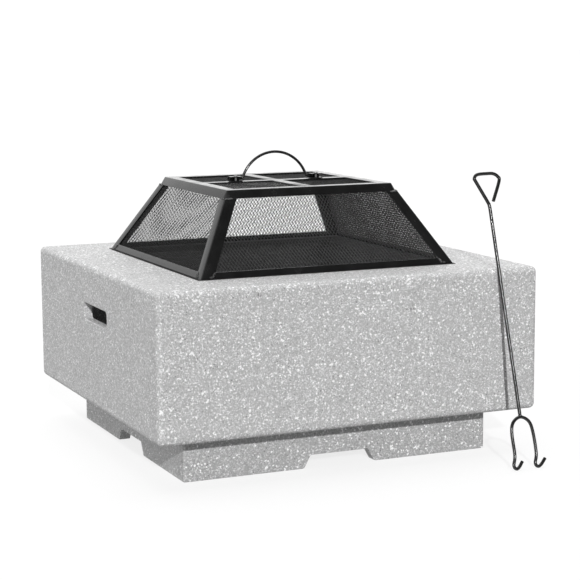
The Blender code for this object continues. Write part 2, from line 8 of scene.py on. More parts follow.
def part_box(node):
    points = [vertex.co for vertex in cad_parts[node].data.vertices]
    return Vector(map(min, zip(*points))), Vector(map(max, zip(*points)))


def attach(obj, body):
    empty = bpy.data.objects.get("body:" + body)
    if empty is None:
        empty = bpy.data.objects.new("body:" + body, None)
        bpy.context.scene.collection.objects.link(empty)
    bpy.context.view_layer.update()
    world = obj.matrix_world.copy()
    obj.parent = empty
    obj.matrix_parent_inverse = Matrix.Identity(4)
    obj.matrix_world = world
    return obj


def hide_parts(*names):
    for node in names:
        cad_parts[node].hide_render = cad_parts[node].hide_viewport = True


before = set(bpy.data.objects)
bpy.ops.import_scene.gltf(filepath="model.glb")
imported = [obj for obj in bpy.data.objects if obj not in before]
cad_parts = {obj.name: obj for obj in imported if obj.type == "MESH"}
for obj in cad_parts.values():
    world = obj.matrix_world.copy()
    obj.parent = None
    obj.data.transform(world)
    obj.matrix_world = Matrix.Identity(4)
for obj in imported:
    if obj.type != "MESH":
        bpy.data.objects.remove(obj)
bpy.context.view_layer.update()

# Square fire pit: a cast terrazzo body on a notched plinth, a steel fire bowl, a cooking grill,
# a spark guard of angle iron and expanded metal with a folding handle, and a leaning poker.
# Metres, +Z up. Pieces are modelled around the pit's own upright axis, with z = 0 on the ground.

noise.seed_set(7)           # fixed, so that the weld beads are the same every time
STONE_LOW, STONE_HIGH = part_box("fire_pit_body")
AXIS = Vector(((STONE_LOW.x + STONE_HIGH.x) / 2, (STONE_LOW.y + STONE_HIGH.y) / 2, 0.0))

SEAM = 0.0001               # hairline between pieces that are welded or rest on each other
CUT_PAST = 0.005

# Cast stone body
BODY_WIDTH = STONE_HIGH.x - STONE_LOW.x
BODY_DEPTH = STONE_HIGH.y - STONE_LOW.y
RIM_HEIGHT = STONE_HIGH.z
BODY_BOTTOM = STONE_LOW.z
EDGE_RADIUS = 0.010
EDGE_SEGMENTS = 8
BODY_WALL = 0.0155
TOP_SLAB = 0.024
FLOOR_SLAB = 0.020
BOWL_OPENING = 0.446
RECESS_SIZE = 0.484
RECESS_DEPTH = 0.002
AIR_OPENING_X = 0.420
AIR_OPENING_Y = 0.390
HAND_SLOT_WIDTH = 0.130
HAND_SLOT_HEIGHT = 0.0294
HAND_SLOT_RADIUS = 0.009
HAND_SLOT_Y = -0.012        # the slots are a little nearer the front
HAND_SLOT_Z = 0.2463
SLOT_FILLET = 0.0020
RECESS_FILLET = 0.0008

# Plinth
PLINTH_HEIGHT = 0.0785
PLINTH_INSET = 0.0655
PLINTH_WALL = 0.020
PLINTH_EDGE_RADIUS = 0.005
NOTCH_HEIGHT = 0.0227
NOTCH_TOP_WIDTH = 0.108
NOTCH_FOOT_WIDTH = 0.133
NOTCH_RADIUS = 0.006
NOTCH_FILLET = 0.0015

# Bowl and grill
FLANGE_TOP = 0.3303
BOWL_MOUTH = 0.430
BOWL_FLOOR = 0.300
BOWL_DEPTH = 0.130
GRILL_SPAN = 0.4174
GRILL_BAR_LENGTH = 0.409
GRILL_DROP = 0.010
GRILL_ROD_RADIUS = 0.002
GRILL_BAR_RADIUS = 0.0025
GRILL_PITCH = 0.015
GRILL_RODS = 27
GRILL_BARS_X = (-0.200, 0.0, 0.200)
GRILL_WELD_DEPTH = 0.001
GRILL_ROD_SIDES = 14

# Spark guard
GUARD_FOOT = 0.3306
GUARD_BASE = 0.4754
GUARD_TOP = 0.3128
GUARD_RISE = 0.139
GUARD_SHEET = 0.0025
GUARD_HEAD = RIM_HEIGHT + GUARD_RISE
ANGLE_WIDTH = 0.020
SIDE_FLANGE = 0.0165
BASE_BAR_WIDTH = 0.0115
MESH_LAP = 0.008
BEND_OUTSIDE = 0.0020       # outer radius of the angle iron's bend
BEND_INSIDE = 0.0008
SHEET_EDGE = 0.0005
HEAD_CORNER = 0.0025        # rounded corners of the guard's top, seen from above
FOOT_WELD_RADIUS = 0.0022
LUMP_RADIUS = 0.0020
HEAD_WELD_RADIUS = 0.0018
HEAD_WELD_SHARE = 0.62      # of the leg's width
GUARD_SLOPE = (GUARD_BASE - GUARD_TOP) / 2 / GUARD_RISE
GUARD_TILT = math.atan(GUARD_SLOPE)
SHEET_ACROSS = GUARD_SHEET / math.cos(GUARD_TILT)
LEG_LEAN = math.atan(math.sin(GUARD_TILT))
LEG_ACROSS = ANGLE_WIDTH / math.cos(LEG_LEAN)
RAIL_DROP = SIDE_FLANGE * math.cos(GUARD_TILT)
BASE_RISE = BASE_BAR_WIDTH * math.cos(GUARD_TILT)

# Expanded metal
DIAMOND_WIDTH = 0.0061
DIAMOND_HEIGHT = 0.0104
STRAND_THICK = 0.0005
STRAND_CUT = {              # each sheet's strand width, and its twist in degrees
    "front": (0.00082, -27), "right": (0.00160, 50), "back": (0.00082, -27),
    "left": (0.00085, -34), "top": (0.00095, 30),
}
BOND_LENGTH = 0.0016
BOND_RAISE = 0.0005
SHEET_BEHIND = 0.0015       # frame's inner face to the middle of the expanded metal
SHEET_WAVE = 0.0004
MESH_START = 0.6            # how far up the base bar the sheet begins

# Handle on the guard
BAIL_ROD_RADIUS = 0.0025
BAIL_RADIUS = 0.066
BAIL_RISE = 0.046
BAIL_BEND = 0.006
BRACKET_START = 0.0675
BRACKET_LENGTH = 0.023
BRACKET_SHEET = 0.0015
BRACKET_INSIDE = 0.0030
BRACKET_FRONT = 0.012
SCREW_HEAD_RADIUS = 0.0036
SCREW_HEAD_HEIGHT = 0.0022
SCREW_FORWARD = 0.0075
PIVOT_Z = 0.4738
PIVOT_Y = 0.003

# Poker
POKER_ROD_RADIUS = 0.003
HOOK_ROD_RADIUS = 0.00284
POKER_X = 0.2727
POKER_LEAN = math.radians(16.7)
FORK_TOP = 0.0894
FORK_HALF = 0.0205
LOOP_FOOT = 0.4578
LOOP_TOP = 0.5114

# Terrazzo: cell sizes in metres, and shares of the cells that are chips
GRAIN_SIZE = 0.0018
CEMENT_DARK = 0.355
CEMENT_PALE = 0.545
CEMENT_BLOTCH = 0.42
CHIP_KINDS = {              # size, share, tone, and where its pattern starts
    "dark": (0.0019, 0.014, 0.20, (3.1, 1.7, 0.4)),
    "fine": (0.0015, 0.20, 0.68, (7.3, 2.9, 5.1)),
    "middle": (0.0021, 0.095, 0.80, (1.3, 8.8, 2.2)),
}
LARGE_SIZE = 0.0030
LARGE_SHARE = (0.014, 0.060)    # where large chips are few, and where they crowd
LARGE_TONE = 0.94
# The plinth's copy of the terrazzo is darker: painted shade, standing in for the less light it
# gets under the body's overhang.
PLINTH_PAINTED_SHADE = 0.86

# Camera and light
CAMERA_PLACE = (-1.2424, -2.8236, 0.735)
CAMERA_AZIMUTH = math.radians(-23.84)
CAMERA_ELEVATION = math.radians(8.51)
CAMERA_ROLL = math.radians(-0.35)
CAMERA_LENS = 107.28
KEY_TOWARD = (-0.2656, -0.8853, 0.3816)
KEY_STRENGTH = 2.38
KEY_ANGLE = math.radians(1.8)
OVERHEAD_STRENGTH = 0.80
OVERHEAD_ANGLE = math.radians(44)
BEHIND_LEFT_WHITE = 0.90
BEHIND_RIGHT_WHITE = 1.55
LEFT_WHITE = 1.10
FRONT_DARK = 0.08
FLOOR_BOUNCE = 0.16
HORIZON_WHITE = 1.05
FLOOR_SIZE = 60.0
FLOOR_SHADE = 0.20
FLOOR_GLOW = 0.80

FOUR_SIDES = (("front", 0), ("right", 1), ("back", 2), ("left", 3))
FOUR_CORNERS = (("front_left", 0), ("front_right", 1), ("back_right", 2), ("back_left", 3))


# ---------------------------------------------------------------- objects

def place(name, mesh, material, body, replaced=(), turn=0, sharp=30):
    """Piece in its place on the pit: turn is how many quarter turns from the front it is."""
    mesh.materials.clear()
    mesh.materials.append(material)
    mesh.shade_smooth()
    mesh.set_sharp_from_angle(angle=math.radians(sharp))
    obj = bpy.data.objects.new(name, mesh)
    bpy.context.scene.collection.objects.link(obj)
    obj.location = AXIS
    obj.rotation_euler.z = turn * math.pi / 2
    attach(obj, body)
    if replaced:
        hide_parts(*replaced)
    return obj


def weigh_normals(obj):
    modifier = obj.modifiers.new("flat_faces", "WEIGHTED_NORMAL")
    modifier.keep_sharp = True
    modifier.weight = 100


def mesh_from(bm, name):
    bmesh.ops.recalc_face_normals(bm, faces=bm.faces)
    mesh = bpy.data.meshes.new(name)
    bm.to_mesh(mesh)
    bm.free()
    return mesh


def loft(name, loops, closed=False):
    """Solid through closed loops of the same number of points, with flat ends."""
    bm = bmesh.new()
    rings = [[bm.verts.new(point) for point in loop] for loop in loops]
    count = len(rings[0])
    pairs = list(zip(rings, rings[1:]))
    if closed:
        pairs.append((rings[-1], rings[0]))
    for first, second in pairs:
        for index in range(count):
            after = (index + 1) % count
            bm.faces.new((first[index], first[after], second[after], second[index]))
    if not closed:
        bm.faces.new(rings[0][::-1])
        bm.faces.new(rings[-1])
    bmesh.ops.remove_doubles(bm, verts=bm.verts, dist=0.000001)
    return mesh_from(bm, name)


def join_meshes(name, meshes):
    bm = bmesh.new()
    for mesh in meshes:
        bm.from_mesh(mesh)
        bpy.data.meshes.remove(mesh)
    return mesh_from(bm, name)


def box_mesh(name, size, centre, radius=0.0, segments=1):
    bm = bmesh.new()
    bmesh.ops.create_cube(bm, size=1.0)
    bmesh.ops.scale(bm, vec=size, verts=bm.verts)
    bmesh.ops.translate(bm, vec=centre, verts=bm.verts)
    if radius:
        bmesh.ops.bevel(
            bm, geom=list(bm.edges), offset=radius, segments=segments,
            profile=0.5, affect="EDGES",
        )
    return mesh_from(bm, name)


def cut_all(mesh, cutters):
    """The mesh less every cutter mesh."""
    target = bpy.data.objects.new("being_cut", mesh)
    bpy.context.scene.collection.objects.link(target)
    tools = []
    for cutter in cutters:
        tool = bpy.data.objects.new("cutter", cutter)
        bpy.context.scene.collection.objects.link(tool)
        modifier = target.modifiers.new("cut", "BOOLEAN")
        modifier.operation = "DIFFERENCE"
        modifier.solver = "EXACT"
        modifier.object = tool
        tools.append(tool)
    bpy.context.view_layer.update()
    graph = bpy.context.evaluated_depsgraph_get()
    result = bpy.data.meshes.new_from_object(target.evaluated_get(graph))
    for used in tools + [target]:
        bpy.data.objects.remove(used)
    return result


# ---------------------------------------------------------------- outlines and paths

def round_corner(before, corner, after, radius, steps):
    """Points of the arc that rounds one corner of a flat outline."""
    corner = Vector(corner)
    to_before = (Vector(before) - corner).normalized()
    to_after = (Vector(after) - corner).normalized()
    half = to_before.angle(to_after) / 2
    centre = corner + (to_before + to_after).normalized() * radius / math.sin(half)
    reach = radius / math.tan(half)
    start = (corner + to_before * reach - centre).normalized()
    end = (corner + to_after * reach - centre).normalized()
    return [centre + start.slerp(end, step / steps) * radius for step in range(steps + 1)]


def round_outline(corners, steps=4):
    """Outline from (point, radius) corners, each rounded to its own radius."""
    outline = []
    count = len(corners)
    for index, (corner, radius) in enumerate(corners):
        before = corners[index - 1][0]
        after = corners[(index + 1) % count][0]
        outline += round_corner(before, corner, after, radius, steps)
    return outline


def rounded_rectangle(width, height, radius, steps):
    x, y = width / 2, height / 2
    corners = [(x, -y), (x, y), (-x, y), (-x, -y)]
    return round_outline([(corner, radius) for corner in corners], steps)


def offset_outline(outline, distance):
    """Flat outline, counter-clockwise, moved outward by a distance."""
    moved = []
    count = len(outline)
    for index, point in enumerate(outline):
        edge_in = (point - outline[index - 1]).normalized()
        edge_out = (outline[(index + 1) % count] - point).normalized()
        out_in = Vector((edge_in.y, -edge_in.x))
        out_out = Vector((edge_out.y, -edge_out.x))
        middle = (out_in + out_out).normalized()
        moved.append(point + middle * distance / max(middle.dot(out_in), 0.5))
    return moved


def flared_cutter(name, outline, depth, fillet, put):
    """Cutter that rounds the edge where it enters a face. put maps (point, depth) to 3-D."""
    steps = 5
    levels = [(-CUT_PAST, fillet)]
    for step in range(steps + 1):
        turn = math.pi / 2 * step / steps
        levels.append((fillet * (1 - math.cos(turn)), fillet * (1 - math.sin(turn))))
    levels.append((depth, 0.0))
    loops = []
    for level, spread in levels:
        loops.append([put(point, level) for point in offset_outline(outline, spread)])
    return loft(name, loops)


def smooth_path(points, steps):
    """Points of a smooth curve that passes through the given points."""
    ends = [2 * points[0] - points[1]] + points + [2 * points[-1] - points[-2]]
    path = [points[0]]
    for index in range(1, len(ends) - 2):
        p0, p1, p2, p3 = ends[index - 1:index + 3]
        for step in range(1, steps + 1):
            t = step / steps
            path.append(0.5 * (
                2 * p1
                + (p2 - p0) * t
                + (2 * p0 - 5 * p1 + 4 * p2 - p3) * t * t
                + (3 * p1 - p0 - 3 * p2 + p3) * t * t * t
            ))
    return path


def tube(name, path, radius, sides=16, chamfer=0.15):
    """Round rod along a path, with lightly chamfered ends. radius may be a list."""
    radii = list(radius) if isinstance(radius, list) else [radius] * len(path)
    tangents = []
    for index in range(len(path)):
        before = path[max(index - 1, 0)]
        after = path[min(index + 1, len(path) - 1)]
        tangents.append((after - before).normalized())
    side = tangents[0].orthogonal().normalized()
    loops = []
    for point, tangent, size in zip(path, tangents, radii):
        side = (side - tangent * side.dot(tangent)).normalized()
        other = tangent.cross(side)
        ring = []
        for step in range(sides):
            turn = 2 * math.pi * step / sides
            ring.append(point + (side * math.cos(turn) + other * math.sin(turn)) * size)
        loops.append(ring)
    for loop, middle, tangent, sign, size in (
        (loops[0], path[0], tangents[0], 1, radii[0]),
        (loops[-1], path[-1], tangents[-1], -1, radii[-1]),
    ):
        cap = [middle + (point - middle) * (1 - chamfer) for point in loop]
        inset = tangent * sign * size * chamfer
        if sign > 0:
            loops[0] = [point + inset for point in loop]
            loops.insert(0, cap)
        else:
            loops[-1] = [point + inset for point in loop]
            loops.append(cap)
    return loft(name, loops)


def weld_bead(name, start, end, size, phase=0.0):
    """Short run of weld: a rounded, rippled ridge that dies out at both ends."""
    steps = 14
    path = []
    radii = []
    along = end - start
    for step in range(steps + 1):
        part = step / steps
        wobble = noise.noise_vector(start * 900 + Vector((phase, part * 6, 0.0)))
        path.append(start + along * part + wobble * size * 0.30)
        ends = math.sin(math.pi * min(max(part, 0.04), 0.96)) ** 0.4
        ripple = 1 + 0.20 * math.sin(part * along.length / size * 5 + phase)
        radii.append(size * ends * ripple)
    return tube(name, path, radii, sides=10, chamfer=0.5)


# ---------------------------------------------------------------- material nodes

def new_material(name):
    material = bpy.data.materials.new(name)
    material.use_nodes = True
    tree = material.node_tree
    return material, tree, tree.nodes["Principled BSDF"]


def add(tree, kind, inputs, **settings):
    """Node with its settings, and its inputs given as values or as sockets to link."""
    node = tree.nodes.new(kind)
    for key, value in settings.items():
        setattr(node, key, value)
    for key, value in inputs.items():
        if isinstance(value, bpy.types.NodeSocket):
            tree.links.new(value, node.inputs[key])
        else:
            node.inputs[key].default_value = value
    return node


def maths(tree, operation, first, second=0.0, third=0.0):
    inputs = {0: first, 1: second, 2: third}
    return add(tree, "ShaderNodeMath", inputs, operation=operation).outputs[0]


def mix_color(tree, factor, first, second):
    """Blend of two colours: factor 0 gives the first."""
    inputs = {0: factor, 6: first, 7: second}
    return add(tree, "ShaderNodeMix", inputs, data_type="RGBA").outputs[2]


def ramp(tree, value, low, high, out_low, out_high):
    inputs = {0: value, 1: low, 2: high, 3: out_low, 4: out_high}
    return add(tree, "ShaderNodeMapRange", inputs).outputs[0]


def noise_value(tree, vector, scale, detail=2.0, roughness=0.5):
    inputs = {"Vector": vector, "Scale": scale, "Detail": detail, "Roughness": roughness}
    return add(tree, "ShaderNodeTexNoise", inputs).outputs["Fac"]


def shifted(tree, vector, offset):
    inputs = {0: vector, 1: offset}
    return add(tree, "ShaderNodeVectorMath", inputs, operation="ADD").outputs[0]


def grey(value):
    return (value, value, value * 1.004, 1.0)


def cell_values(tree, vector, size, offset):
    """Three random values for each cell of the given size."""
    inputs = {"Vector": shifted(tree, vector, offset), "Scale": 1 / size, "Randomness": 1.0}
    cells = add(tree, "ShaderNodeTexVoronoi", inputs, feature="F1")
    return add(tree, "ShaderNodeSeparateColor", {0: cells.outputs["Color"]}).outputs


def chips(tree, vector, size, share, offset):
    """Mask of angular stone chips: a share of the cells of the given size."""
    return maths(tree, "LESS_THAN", cell_values(tree, vector, size, offset)[0], share)


# ---------------------------------------------------------------- materials

def make_terrazzo(name, shade):
    """Cast terrazzo: granular cement crowded with fine pale chips, fewer large ones, and specks.
    shade scales every tone but the large chips: below 1 it is painted shade, as on the plinth,
    which stands in the shade of the body's overhang."""
    material, tree, shader = new_material(name)
    place_in = add(tree, "ShaderNodeTexCoord", {}).outputs["Object"]
    warp = add(tree, "ShaderNodeTexNoise", {"Vector": place_in, "Scale": 700.0, "Detail": 1.0})
    centred = shifted(tree, warp.outputs["Color"], (-0.5, -0.5, -0.5))
    bend = add(
        tree, "ShaderNodeVectorMath", {0: centred, "Scale": 0.0014}, operation="SCALE"
    ).outputs[0]
    vector = add(tree, "ShaderNodeVectorMath", {0: place_in, 1: bend}, operation="ADD").outputs[0]

    grain = cell_values(tree, vector, GRAIN_SIZE, (0.0, 0.0, 0.0))[1]
    cement = mix_color(tree, grain, grey(CEMENT_DARK * shade), grey(CEMENT_PALE * shade))
    blotch = noise_value(tree, place_in, 26.0, 3.0)
    cement = mix_color(
        tree, ramp(tree, blotch, 0.35, 0.65, 0.0, 0.25), cement, grey(CEMENT_BLOTCH * shade)
    )
    crowd = ramp(tree, noise_value(tree, place_in, 9.0, 2.0), 0.35, 0.65, *LARGE_SHARE)

    masks = {}
    color = cement
    for kind, (size, share, tone, offset) in CHIP_KINDS.items():
        masks[kind] = chips(tree, vector, size, share, offset)
        color = mix_color(tree, masks[kind], color, grey(tone * shade))
    large = chips(tree, vector, LARGE_SIZE, crowd, (5.2, 3.3, 9.1))
    color = mix_color(tree, large, color, grey(LARGE_TONE))
    tree.links.new(color, shader.inputs["Base Color"])

    pits = noise_value(tree, place_in, 900.0, 3.0, 0.6)
    chip_gloss = maths(tree, "MAXIMUM", large, masks["middle"])
    tree.links.new(ramp(tree, chip_gloss, 0.0, 1.0, 0.60, 0.42), shader.inputs["Roughness"])
    soft = noise_value(tree, place_in, 120.0, 2.0)
    height = maths(tree, "MULTIPLY_ADD", soft, 0.8, pits)
    bump = add(
        tree, "ShaderNodeBump", {"Height": height, "Strength": 0.35, "Distance": 0.0006}
    )
    tree.links.new(bump.outputs[0], shader.inputs["Normal"])
    return material


def make_coating(name, tone, rough, gloss=0.5, peel_scale=700.0, peel=0.10):
    """Satin heat-proof coating on steel, with orange peel and faint rubbing."""
    material, tree, shader = new_material(name)
    place_in = add(tree, "ShaderNodeTexCoord", {}).outputs["Object"]
    cloud = noise_value(tree, place_in, 38.0, 4.0, 0.6)
    dust = noise_value(tree, place_in, 420.0, 2.0, 0.7)
    color = mix_color(
        tree, ramp(tree, cloud, 0.3, 0.7, 0.0, 1.0), grey(tone * 0.8), grey(tone * 1.3)
    )
    color = mix_color(tree, ramp(tree, dust, 0.66, 0.80, 0.0, 0.5), color, grey(tone * 3))
    tree.links.new(color, shader.inputs["Base Color"])
    tree.links.new(
        ramp(tree, cloud, 0.3, 0.7, rough - 0.06, rough + 0.08), shader.inputs["Roughness"]
    )
    shader.inputs["Metallic"].default_value = 0.0
    shader.inputs["IOR"].default_value = 1.5
    shader.inputs["Specular IOR Level"].default_value = gloss
    grain = noise_value(tree, place_in, peel_scale, 2.0, 0.5)
    bump = add(tree, "ShaderNodeBump", {"Height": grain, "Strength": peel, "Distance": 0.0005})
    tree.links.new(bump.outputs[0], shader.inputs["Normal"])
    return material


def make_bare_steel(name, tone, rough):
    """Plated steel, gone dull, with fine turning marks."""
    material, tree, shader = new_material(name)
    place_in = add(tree, "ShaderNodeTexCoord", {}).outputs["Object"]
    marks = noise_value(tree, place_in, 1500.0, 2.0)
    color = mix_color(tree, marks, grey(tone * 0.8), grey(tone))
    tree.links.new(color, shader.inputs["Base Color"])
    tree.links.new(
        ramp(tree, marks, 0.3, 0.7, rough - 0.08, rough + 0.1), shader.inputs["Roughness"]
    )
    shader.inputs["Metallic"].default_value = 1.0
    bump = add(tree, "ShaderNodeBump", {"Height": marks, "Strength": 0.1, "Distance": 0.0003})
    tree.links.new(bump.outputs[0], shader.inputs["Normal"])
    return material


# ---------------------------------------------------------------- stone

def make_body():
    height = RIM_HEIGHT - BODY_BOTTOM
    block = box_mesh(
        "block", (BODY_WIDTH, BODY_DEPTH, height), (0.0, 0.0, BODY_BOTTOM + height / 2),
        EDGE_RADIUS, EDGE_SEGMENTS,
    )
    hollow_bottom = BODY_BOTTOM + FLOOR_SLAB
    hollow_top = RIM_HEIGHT - TOP_SLAB
    hollow = box_mesh(
        "hollow",
        (BODY_WIDTH - 2 * BODY_WALL, BODY_DEPTH - 2 * BODY_WALL, hollow_top - hollow_bottom),
        (0.0, 0.0, (hollow_top + hollow_bottom) / 2),
    )
    mouth = box_mesh(
        "mouth", (BOWL_OPENING, BOWL_OPENING, TOP_SLAB + 2 * CUT_PAST),
        (0.0, 0.0, RIM_HEIGHT - TOP_SLAB / 2),
    )
    air = box_mesh(
        "air", (AIR_OPENING_X, AIR_OPENING_Y, FLOOR_SLAB + 2 * CUT_PAST),
        (0.0, 0.0, BODY_BOTTOM + FLOOR_SLAB / 2),
    )
    square = rounded_rectangle(RECESS_SIZE, RECESS_SIZE, 0.002, 4)
    recess = flared_cutter(
        "recess", square, RECESS_DEPTH, RECESS_FILLET,
        lambda point, depth: Vector((point.x, point.y, RIM_HEIGHT - depth)),
    )
    cutters = [hollow, mouth, air, recess]
    outline = rounded_rectangle(HAND_SLOT_WIDTH, HAND_SLOT_HEIGHT, HAND_SLOT_RADIUS, 8)
    for sign in (-1, 1):
        cutters.append(flared_cutter(
            "slot", outline, BODY_WALL + CUT_PAST, SLOT_FILLET,
            lambda point, depth, sign=sign: Vector((
                sign * (BODY_WIDTH / 2 - depth),
                HAND_SLOT_Y + point.x,
                HAND_SLOT_Z + point.y,
            )),
        ))
    body = place(
        "stone_body", cut_all(block, cutters), body_stone, "base", ["fire_pit_body"]
    )
    weigh_normals(body)


def notch_outline():
    """Outline of a foot notch, wider at the ground, counter-clockwise."""
    foot, top = NOTCH_FOOT_WIDTH / 2, NOTCH_TOP_WIDTH / 2
    beside = Vector((-foot - 2 * NOTCH_RADIUS, 0.0))
    left = [beside, Vector((-foot, 0.0)), Vector((-top, NOTCH_HEIGHT))]
    right = [Vector((-point.x, point.y)) for point in reversed(left)]
    rounded = round_corner(left[0], left[1], left[2], NOTCH_RADIUS, 6)
    rounded += round_corner(left[1], left[2], right[0], NOTCH_RADIUS / 2, 5)
    rounded += round_corner(left[2], right[0], right[1], NOTCH_RADIUS / 2, 5)
    rounded += round_corner(right[0], right[1], right[2], NOTCH_RADIUS, 6)
    below_start = Vector((rounded[0].x, -CUT_PAST))
    below_end = Vector((rounded[-1].x, -CUT_PAST))
    return ([below_start] + rounded + [below_end])[::-1]


def make_plinth():
    width = BODY_WIDTH - 2 * PLINTH_INSET
    depth = BODY_DEPTH - 2 * PLINTH_INSET
    edge = 0.0015
    loops = []
    for z, inset in (
        (0.0, edge), (edge * 0.3, edge * 0.3), (edge, 0.0),
        (PLINTH_HEIGHT - edge, 0.0), (PLINTH_HEIGHT, edge),
    ):
        outline = rounded_rectangle(
            width - 2 * inset, depth - 2 * inset, PLINTH_EDGE_RADIUS - inset, 6
        )
        loops.append([Vector((point.x, point.y, z)) for point in outline])
    block = loft("plinth_block", loops)
    inside = box_mesh(
        "inside",
        (width - 2 * PLINTH_WALL, depth - 2 * PLINTH_WALL, PLINTH_HEIGHT + 2 * CUT_PAST),
        (0.0, 0.0, PLINTH_HEIGHT / 2),
    )
    cutters = [inside]
    outline = notch_outline()
    for index, half in enumerate((depth / 2, width / 2, depth / 2, width / 2)):
        turn = Matrix.Rotation(index * math.pi / 2, 3, "Z")
        cutters.append(flared_cutter(
            "notch", outline, PLINTH_WALL + CUT_PAST, NOTCH_FILLET,
            lambda point, into, half=half, turn=turn: turn @ Vector((
                point.x, into - half, point.y
            )),
        ))
    plinth = place(
        "stone_plinth", cut_all(block, cutters), plinth_painted_shade_stone, "base", ["plinth"]
    )
    weigh_normals(plinth)


# ---------------------------------------------------------------- bowl and grill

def finish_bowl():
    """The bowl's own plates get their coating, and a weld runs down each inner corner."""
    plates = [f"fire_bowl_side_{side}" for side in ("front", "right", "back", "left")]
    for node in plates + ["fire_bowl_floor"]:
        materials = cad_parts[node].data.materials
        materials.clear()
        materials.append(bowl_coat)

    floor_z = FLANGE_TOP - BOWL_DEPTH
    foot = Vector((-BOWL_FLOOR / 2, -BOWL_FLOOR / 2, floor_z + 0.003))
    head_out = BOWL_MOUTH / 2 - 0.003
    head = Vector((-head_out, -head_out, FLANGE_TOP - 0.006))
    along_floor = Vector((BOWL_FLOOR / 2, -BOWL_FLOOR / 2, floor_z + 0.002))
    for corner, turn in FOUR_CORNERS:
        seam = weld_bead("seam", foot, head, 0.0020, turn)
        rim = weld_bead(
            "rim", Vector((foot.x + 0.002, foot.y + 0.0005, floor_z + 0.002)),
            along_floor, 0.0018, turn + 0.5,
        )
        bead = join_meshes(f"bowl_weld_{corner}", [seam, rim])
        place(f"bowl_weld_{corner}", bead, weld_metal, "bowl", turn=turn)


def make_grill():
    rod_z = FLANGE_TOP - GRILL_DROP
    bar_z = rod_z - GRILL_ROD_RADIUS - GRILL_BAR_RADIUS + GRILL_WELD_DEPTH
    meshes = []
    first_y = -GRILL_PITCH * (GRILL_RODS - 1) / 2
    for index in range(GRILL_RODS):
        y = first_y + index * GRILL_PITCH
        ends = [Vector((sign * GRILL_SPAN / 2, y, rod_z)) for sign in (-1, 1)]
        meshes.append(tube("rod", ends, GRILL_ROD_RADIUS, GRILL_ROD_SIDES))
        for bar_x in GRILL_BARS_X:
            start = Vector((bar_x - 0.0028, y - 0.0012, rod_z - 0.0012))
            end = Vector((bar_x + 0.0028, y - 0.0012, rod_z - 0.0012))
            meshes.append(weld_bead("nugget", start, end, 0.0014, index + bar_x * 50))
    for bar_x in GRILL_BARS_X:
        ends = [Vector((bar_x, sign * GRILL_BAR_LENGTH / 2, bar_z)) for sign in (-1, 1)]
        meshes.append(tube("bar", ends, GRILL_BAR_RADIUS, GRILL_ROD_SIDES))
    grill = join_meshes("grill", meshes)
    place("grill", grill, grill_wire, "grill", ["cooking_grill"])


# ---------------------------------------------------------------- spark guard

def guard_half(z):
    return GUARD_TOP / 2 + (GUARD_HEAD - z) * GUARD_SLOPE


def make_legs():
    """Angle iron up each corner: its foot and its head are cut level."""
    foot_half = guard_half(GUARD_FOOT)
    head = GUARD_HEAD - RAIL_DROP - SEAM
    corners = [
        ((0.0, 0.0), BEND_OUTSIDE), ((LEG_ACROSS, 0.0), SHEET_EDGE),
        ((LEG_ACROSS, SHEET_ACROSS), SHEET_EDGE), ((SHEET_ACROSS, SHEET_ACROSS), BEND_INSIDE),
        ((SHEET_ACROSS, LEG_ACROSS), SHEET_EDGE), ((0.0, LEG_ACROSS), SHEET_EDGE),
    ]
    outline = round_outline(corners, 5)
    rise = head - GUARD_FOOT
    loops = []
    end_ring = 0.0004
    for z in (0.0, end_ring, rise - end_ring, rise):
        shift = z * GUARD_SLOPE
        loops.append([
            Vector((point.x - foot_half + shift, point.y - foot_half + shift, GUARD_FOOT + z))
            for point in outline
        ])
    for corner, turn in FOUR_CORNERS:
        leg = loft("leg", loops)
        place(f"leg_{corner}", leg, coat, "spark_guard",
              [f"guard_leg_{corner}"], turn)


def rail_section():
    """Top rail as (out, z): a level flange and a slanted one, with a bend between."""
    half = GUARD_TOP / 2
    low = GUARD_HEAD - RAIL_DROP
    under = GUARD_HEAD - GUARD_SHEET
    inner = half - ANGLE_WIDTH
    corners = [
        ((half, GUARD_HEAD), BEND_OUTSIDE), ((guard_half(low), low), SHEET_EDGE),
        ((guard_half(low) - SHEET_ACROSS, low), SHEET_EDGE),
        ((guard_half(under) - SHEET_ACROSS, under), BEND_INSIDE),
        ((inner, under), SHEET_EDGE), ((inner, GUARD_HEAD), SHEET_EDGE),
    ]
    return round_outline(corners, 4)


def rail_station(section, turn):
    """The rail's section where its corner has turned by an angle from the side's direction."""
    centre = GUARD_TOP / 2 - HEAD_CORNER
    loop = []
    for point in section:
        radius = max(point.x - centre, 0.0)
        reach = min(point.x, centre)
        loop.append(Vector((
            -reach - radius * math.sin(turn) + SEAM / 2,
            -reach - radius * math.cos(turn),
            point.y,
        )))
    return loop


def mirrored(loops):
    return [[Vector((-point.x, point.y, point.z)) for point in loop] for loop in loops[::-1]]


def make_rails():
    section = rail_section()
    turns = [math.pi / 4 * (1 - step / 4) for step in range(5)]
    left = [rail_station(section, turn) for turn in turns]
    for side, turn in FOUR_SIDES:
        rail = loft("rail", left + mirrored(left))
        place(f"top_rail_{side}", rail, coat, "spark_guard",
              [f"guard_top_rail_{side}"], turn)

    top = GUARD_FOOT + BASE_RISE
    corners = [
        ((guard_half(GUARD_FOOT), GUARD_FOOT), SHEET_EDGE),
        ((guard_half(GUARD_FOOT) - SHEET_ACROSS, GUARD_FOOT), SHEET_EDGE),
        ((guard_half(top) - SHEET_ACROSS, top), SHEET_EDGE),
        ((guard_half(top), top), SHEET_EDGE),
    ]
    section = round_outline(corners, 3)
    left = [[
        Vector((-(guard_half(point.y) - LEG_ACROSS - SEAM), -point.x, point.y))
        for point in section
    ]]
    for side, turn in FOUR_SIDES:
        bar = loft("base_bar", left + mirrored(left))
        place(f"base_bar_{side}", bar, coat, "spark_guard",
              [f"guard_base_bar_{side}"], turn)


